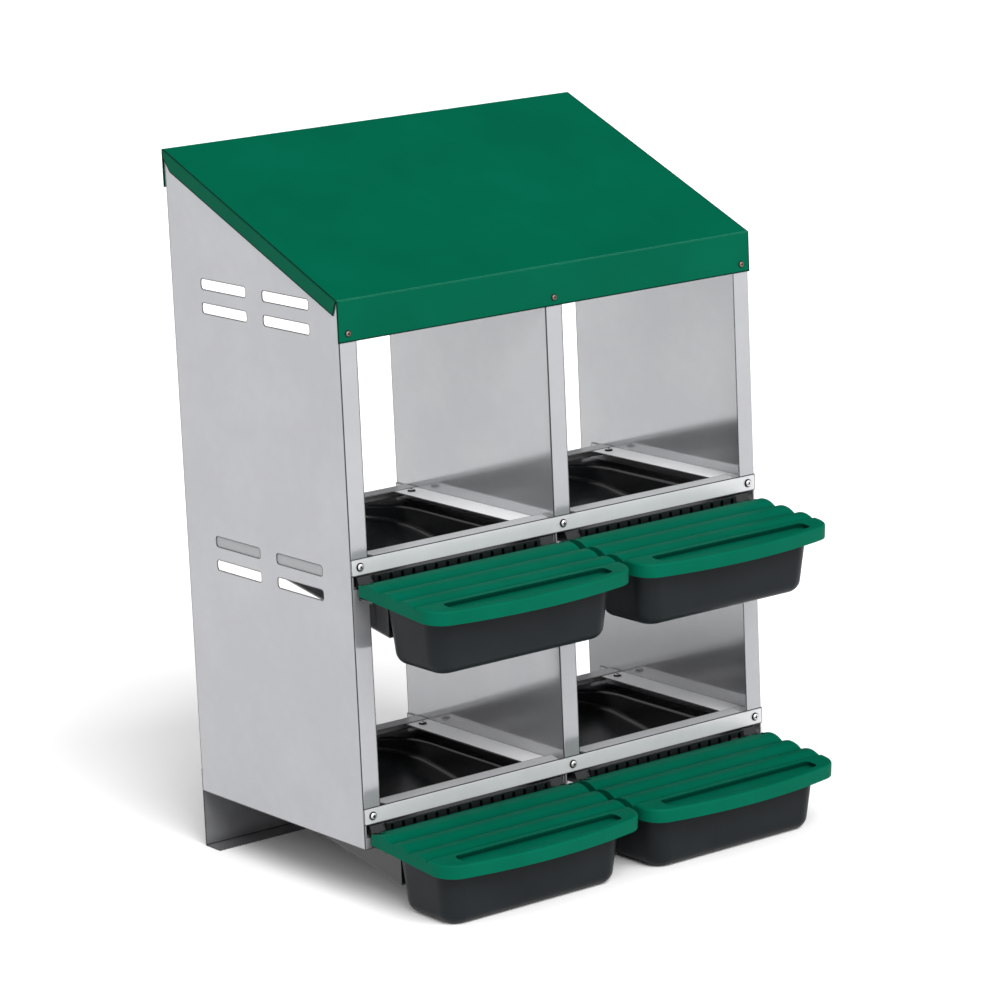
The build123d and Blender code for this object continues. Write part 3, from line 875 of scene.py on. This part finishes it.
@dataclass
class CrossHeadScrews:
    """Group of pan head screws with a cross recess, in place of a packed group, sized in millimetres."""

    node: str
    name: str
    slot: str
    finish: Finish
    facing: Facing
    head_radius: float
    head_height: float
    shank_radius: float = 2.4
    shank_length: float = 7.0
    recess_span: float = 5.0
    recess_width: float = 1.6
    recess_depth: float = 2.2
    recess_foot: float = 0.62
    # Share of the head's radius beyond which the rim carries painted shade
    shade_ring_share: float = 0.74
    rim_share: float = 1 / 3
    lip: float = 0.18
    tip_chamfer: float = 0.6
    crown_steps: int = 8
    # How far the first screw was turned in, and how much further each next one
    first_turn_deg: float = 17.0
    next_turn_deg: float = 41.0
    # How far the cutter stands out of the head, and the room around the recess floor
    cutter_excess: float = 1.0
    floor_room: float = 0.05
    # Upward part of the normal below which a face inside the recess is one of its walls
    wall_turn: float = 0.5
    segments: int = 40
    edges: EdgeSoftener = field(default_factory=lambda: EdgeSoftener(0.0, 32.0))

    def profile(self) -> list[tuple[float, float]]:
        """Half section of the screw in millimetres, from the crown to the tip.

        Returns:
            Radius and height of each point; the head sits on height 0.
        """
        rim = self.head_height * self.rim_share
        rise = self.head_height - rim
        ball = (self.head_radius ** 2 + rise ** 2) / (2 * rise)
        points = []
        for step in range(self.crown_steps + 1):
            radius = self.head_radius * step / self.crown_steps
            points.append((radius, rim + math.sqrt(ball ** 2 - radius ** 2) - (ball - rise)))
        tip = -self.shank_length
        points[-1] = (self.head_radius, rim - self.lip)
        points += [(self.head_radius, self.lip), (self.head_radius - self.lip, 0.0), (self.shank_radius, 0.0),
                   (self.shank_radius, tip + self.tip_chamfer), (self.shank_radius - self.tip_chamfer, tip),
                   (0.0, tip)]
        return points

    def turned(self) -> bmesh.types.BMesh:
        """Turned blank of one screw, head up, in metres.

        Returns:
            Closed mesh of the blank.
        """
        mesh = bmesh.new()
        rings = []
        for radius, height in self.profile():
            if radius == 0.0:
                rings.append([mesh.verts.new((0.0, 0.0, height * MM))])
                continue
            angles = [2 * math.pi * k / self.segments for k in range(self.segments)]
            rings.append([mesh.verts.new((radius * MM * math.cos(a), radius * MM * math.sin(a), height * MM))
                          for a in angles])
        for upper, lower in zip(rings, rings[1:]):
            for k in range(self.segments):
                after = (k + 1) % self.segments
                if len(upper) == 1:
                    mesh.faces.new((upper[0], lower[k], lower[after]))
                elif len(lower) == 1:
                    mesh.faces.new((upper[k], lower[0], upper[after]))
                else:
                    mesh.faces.new((upper[k], lower[k], lower[after], upper[after]))
        bmesh.ops.recalc_face_normals(mesh, faces=mesh.faces)
        return mesh

    def recess(self) -> bmesh.types.BMesh:
        """Cutter of the cross recess: two tapered bars that cross.

        Returns:
            Closed mesh of the cutter, in metres.
        """
        half_span = self.recess_span / 2
        half_width = self.recess_width / 2
        outline = [(half_width, half_width), (half_width, half_span), (-half_width, half_span)]
        plan = []
        for turn in range(4):
            spin = Matrix.Rotation(math.radians(90 * turn), 2)
            plan += [spin @ Vector(point) for point in outline]
        floor = self.head_height - self.recess_depth
        return tapered_prism(plan, floor, self.head_height + self.cutter_excess, self.recess_foot)

    def paint_shade(self, one: bpy.types.Mesh) -> None:
        """Paint shade on the rim of the head and in the recess, and leave the crown bright.

        Args:
            one: Mesh of one screw, head up.
        """
        one.materials.clear()
        one.materials.append(self.finish.material())
        one.materials.append(SCREW_SHADE.material())
        floor = self.head_height - self.recess_depth
        for face in one.polygons:
            radius = face.center.xy.length / MM
            height = face.center.z / MM
            at_rim = radius > self.shade_ring_share * self.head_radius and height > 0
            inside = radius < self.recess_span / 2
            in_recess = inside and height > 0 and face.normal.z < self.wall_turn
            at_floor = inside and abs(height - floor) < self.floor_room
            face.material_index = int(at_rim or in_recess or at_floor)

    def seat(self, box: tuple[Vector, Vector], number: int) -> Matrix:
        """Place and turn of one screw.

        Args:
            box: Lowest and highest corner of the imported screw.
            number: Count of the screw, which sets how far it was turned.

        Returns:
            Matrix that moves the screw to its seat.
        """
        low, high = box
        middle = (low + high) / 2
        spin = Matrix.Rotation(math.radians(self.first_turn_deg + self.next_turn_deg * number), 4, "Z")
        if self.facing is Facing.FRONT:
            seat = Vector((middle.x, low.y + self.head_height * MM, middle.z))
            return Matrix.Translation(seat) @ Matrix.Rotation(math.radians(90), 4, "X") @ spin
        seat = Vector((middle.x, middle.y, high.z - self.head_height * MM))
        return Matrix.Translation(seat) @ spin

    def build(self) -> bpy.types.Object:
        """Build the group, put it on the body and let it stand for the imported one.

        Returns:
            The object with all screws of the group.
        """
        one = cut_away(self.name, self.turned(), self.recess())
        self.paint_shade(one)
        seats = [self.seat(box, number) for number, box in enumerate(islands(self.node))]
        mesh = bpy.data.meshes.new(self.name)
        group = copies(one, seats)
        group.to_mesh(mesh)
        group.free()
        mesh.materials.append(self.finish.material())
        mesh.materials.append(SCREW_SHADE.material())
        obj = stand_in(self.name, mesh, self.node, "frame")
        self.edges.apply_to(obj)
        return obj


@dataclass
class SlottedPan:
    """Nest pan with a row of slots under the front rail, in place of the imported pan, sized in millimetres."""

    stem: str
    count: int = 15
    pitch: float = 16.0
    width: float = 4.6
    height: float = 13.0
    depth: float = 4.0
    # Middle of the slots below the top of the pan, and their face in front of its back
    below_top: float = 7.7
    before_back: float = 336.5
    end_steps: int = 6
    # How far the cutters stand out of the face, and how much they narrow inwards
    cutter_excess: float = 1.0
    foot: float = 0.9
    edges: EdgeSoftener = field(default_factory=lambda: EdgeSoftener(0.5, 30.0))

    def outline(self) -> list[Vector]:
        """Upright slot with round ends.

        Returns:
            Points of the outline in millimetres.
        """
        radius = self.width / 2
        straight = self.height / 2 - radius
        points = []
        for end in (1, -1):
            for step in range(self.end_steps + 1):
                turn = math.pi * step / self.end_steps
                points.append(end * Vector((radius * math.cos(turn), straight + radius * math.sin(turn))))
        return points

    def places(self, node: str) -> list[Matrix]:
        """Places of the slots in the face of the apron.

        Args:
            node: Packed pan.

        Returns:
            Matrix of each slot, its top looking to the front.
        """
        low, high = (Vector(corner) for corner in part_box(node))
        middle = (low.x + high.x) / 2
        face = high.y - self.before_back * MM
        level = high.z - self.below_top * MM
        forward = Matrix.Rotation(math.radians(90), 4, "X")
        offsets = [(number - (self.count - 1) / 2) * self.pitch * MM for number in range(self.count)]
        return [Matrix.Translation((middle + offset, face, level)) @ forward for offset in offsets]

    def build(self) -> bpy.types.Object:
        """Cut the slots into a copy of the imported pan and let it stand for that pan.

        Returns:
            The object of the pan.
        """
        node = f"{self.stem}_nest_pan"
        name = f"{self.stem}_slotted_pan"
        blank = bmesh.new()
        blank.from_mesh(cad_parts[node].data)
        bmesh.ops.remove_doubles(blank, verts=blank.verts, dist=WELD)
        one = bpy.data.meshes.new(f"{name}_slot")
        slot = tapered_prism(self.outline(), -self.depth, self.cutter_excess, self.foot)
        slot.to_mesh(one)
        slot.free()
        mesh = cut_away(name, blank, copies(one, self.places(node)))
        mesh.materials.clear()
        mesh.materials.append(PAN_BLACK.material())
        obj = stand_in(name, mesh, node, f"{self.stem}_nest")
        self.edges.apply_to(obj)
        return obj


@dataclass
class SheetBody:
    """Folded sheet body: panels, partition, rails, rear foot and runners."""

    sheets: tuple[str, ...] = ("left_side_panel", "right_side_panel", "centre_partition", "rear_top_rail")
    rails: tuple[str, ...] = ("front_rail", "left_rear_rail", "right_rear_rail")
    runners: tuple[str, ...] = ("left_outer_runner", "left_inner_runner", "right_inner_runner",
                                "right_outer_runner")
    nuts: tuple[str, ...] = ("roof_nuts", "front_rail_nuts", "runner_nuts")
    edges: EdgeSoftener = field(default_factory=lambda: EdgeSoftener(0.0))
    nut_edges: EdgeSoftener = field(default_factory=lambda: EdgeSoftener(0.35))

    def build(self) -> None:
        """Dress every sheet of the body and its nuts."""
        for name in self.sheets:
            dress(name, GALVANISED, self.edges)
        dress("rear_foot", FOOT_ZINC, self.edges)
        for deck in Deck:
            for rail in self.rails:
                dress(f"{deck.value}_{rail}", RAIL_ZINC, self.edges)
            for runner in self.runners:
                dress(f"{deck.value}_{runner}", RUNNER_ZINC, self.edges)
        for name in self.nuts:
            dress(name, ZINC, self.nut_edges)
        dress("roof_cover", ROOF_GREEN, self.edges)


@dataclass
class NestUnit:
    """One slide out nest: pan, egg tray and hinged lid."""

    deck: Deck
    side: Side
    moulded_edges: EdgeSoftener = field(default_factory=lambda: EdgeSoftener(0.5, 30.0))
    lid_edges: EdgeSoftener = field(default_factory=lambda: EdgeSoftener(0.8, 40.0, 55.0, 3))

    def build(self) -> None:
        """Build the pan and dress the tray and the lid of the unit."""
        stem = f"{self.deck.value}_{self.side.value}"
        SlottedPan(stem).build()
        dress(f"{stem}_egg_tray", TRAY_BLACK, self.moulded_edges)
        dress(f"{stem}_egg_lid", LID_GREEN, self.lid_edges)


@dataclass
class SoftSun:
    """A far, wide studio light that reaches the whole floor evenly."""

    name: str
    direction: tuple[float, float, float]
    strength: float
    spread_deg: float

    def build(self) -> bpy.types.Object:
        """Make the light, shining from its direction towards the object.

        Returns:
            The light object.
        """
        data = bpy.data.lights.new(self.name, "SUN")
        data.energy = self.strength
        data.angle = math.radians(self.spread_deg)
        obj = bpy.data.objects.new(self.name, data)
        bpy.context.scene.collection.objects.link(obj)
        obj.rotation_mode = "QUATERNION"
        obj.rotation_quaternion = Vector(self.direction).to_track_quat("Z", "Y")
        log.info("lit by %s", self.name)
        return obj


@dataclass
class Studio:
    """White floor, a white surround with a dark flag behind to the right, and a soft light in front."""

    floor_half: float = 40.0
    surround: str = "#FFFFFF"
    bright: float = 1.0
    dim: float = 0.04
    # The flag stands where the roof and the lids mirror the surround towards the camera
    flag: tuple[float, float, float] = (0.604, 0.579, 0.548)
    flag_edge: float = 0.70
    flag_core: float = 0.93
    lights: tuple[SoftSun, ...] = (SoftSun("key_front", (-0.12, -0.74, 0.66), 3.2, 40.0),)

    def surround_world(self) -> bpy.types.World:
        """Surround that is white all around except for the flag.

        Returns:
            The world.
        """
        world = bpy.data.worlds.new("flagged_white_surround")
        world.use_nodes = True
        tree = world.node_tree
        tree.nodes.clear()
        towards = add_node(tree, "ShaderNodeTexCoord").outputs["Generated"]
        near = add_node(tree, "ShaderNodeVectorMath", {"operation": "DOT_PRODUCT"},
                        {0: towards, 1: self.flag}).outputs["Value"]
        strength = add_node(tree, "ShaderNodeMapRange", {"interpolation_type": "SMOOTHSTEP"},
                            {"Value": near, "From Min": self.flag_edge, "From Max": self.flag_core,
                             "To Min": self.bright, "To Max": self.dim})
        glow = add_node(tree, "ShaderNodeBackground", {},
                        {"Color": linear(self.surround), "Strength": strength.outputs["Result"]})
        add_node(tree, "ShaderNodeOutputWorld", {}, {"Surface": glow.outputs[0]})
        return world

    def build(self) -> None:
        """Make the floor, the surround and the lights."""
        mesh = bmesh.new()
        half = self.floor_half
        plan = ((-half, -half), (half, -half), (half, half), (-half, half))
        mesh.faces.new([mesh.verts.new((x, y, 0.0)) for x, y in plan])
        floor = mesh_object("studio_floor", mesh)
        floor.data.materials.append(PaintedFloor().material())
        bpy.context.scene.world = self.surround_world()
        for light in self.lights:
            light.build()
        bpy.context.scene.view_settings.view_transform = "Standard"


@dataclass
class PhotoCamera:
    """Long lens camera at the viewing angle of the photograph, in degrees and metres."""

    azimuth: float = -36.80
    elevation: float = 12.72
    roll: float = -2.53
    distance: float = 5.060
    target: tuple[float, float, float] = (0.028, 0.064528, 0.402)
    focal_px: float = 4213.0
    image_px: float = 1000.0
    sensor_mm: float = 36.0
    far_m: float = 200.0

    def build(self) -> bpy.types.Object:
        """Make the camera and use it for the scene.

        Returns:
            The camera object.
        """
        around, above, roll = (math.radians(v) for v in (self.azimuth, self.elevation, self.roll))
        level = math.cos(above)
        back = Vector((math.sin(around) * level, -math.cos(around) * level, math.sin(above)))
        right = Vector((math.cos(around), math.sin(around), 0.0))
        up = back.cross(right)
        right, up = (math.cos(roll) * right + math.sin(roll) * up,
                     math.cos(roll) * up - math.sin(roll) * right)
        data = bpy.data.cameras.new("photo_camera")
        data.sensor_width = self.sensor_mm
        data.lens = self.focal_px / self.image_px * self.sensor_mm
        data.clip_end = self.far_m
        camera = bpy.data.objects.new("photo_camera", data)
        bpy.context.scene.collection.objects.link(camera)
        turn = Matrix((right, up, back)).transposed().to_4x4()
        camera.matrix_world = Matrix.Translation(Vector(self.target) + back * self.distance) @ turn
        bpy.context.scene.camera = camera
        return camera


def main() -> None:
    """Build every sub-assembly in order, then the studio and the camera."""
    logging.basicConfig(level=logging.INFO, format="%(name)s: %(message)s")
    SheetBody().build()
    for deck in Deck:
        for side in Side:
            NestUnit(deck, side).build()
    CrossHeadScrews("front_rail_screws", "front_rail_cross_screws", "zinc_plated_steel", ZINC, Facing.FRONT,
                    head_radius=5.0, head_height=3.4).build()
    CrossHeadScrews("runner_screws", "runner_cross_screws", "zinc_plated_steel", ZINC, Facing.UP,
                    head_radius=5.0, head_height=3.4).build()
    CrossHeadScrews("roof_screws", "roof_cross_screws", "plated_roof_screw", ROOF_ZINC, Facing.FRONT,
                    head_radius=3.9, head_height=2.4, recess_span=3.8, recess_width=1.3,
                    recess_depth=1.6).build()
    Studio().build()
    PhotoCamera().build()


if __name__ == "__main__":
    main()
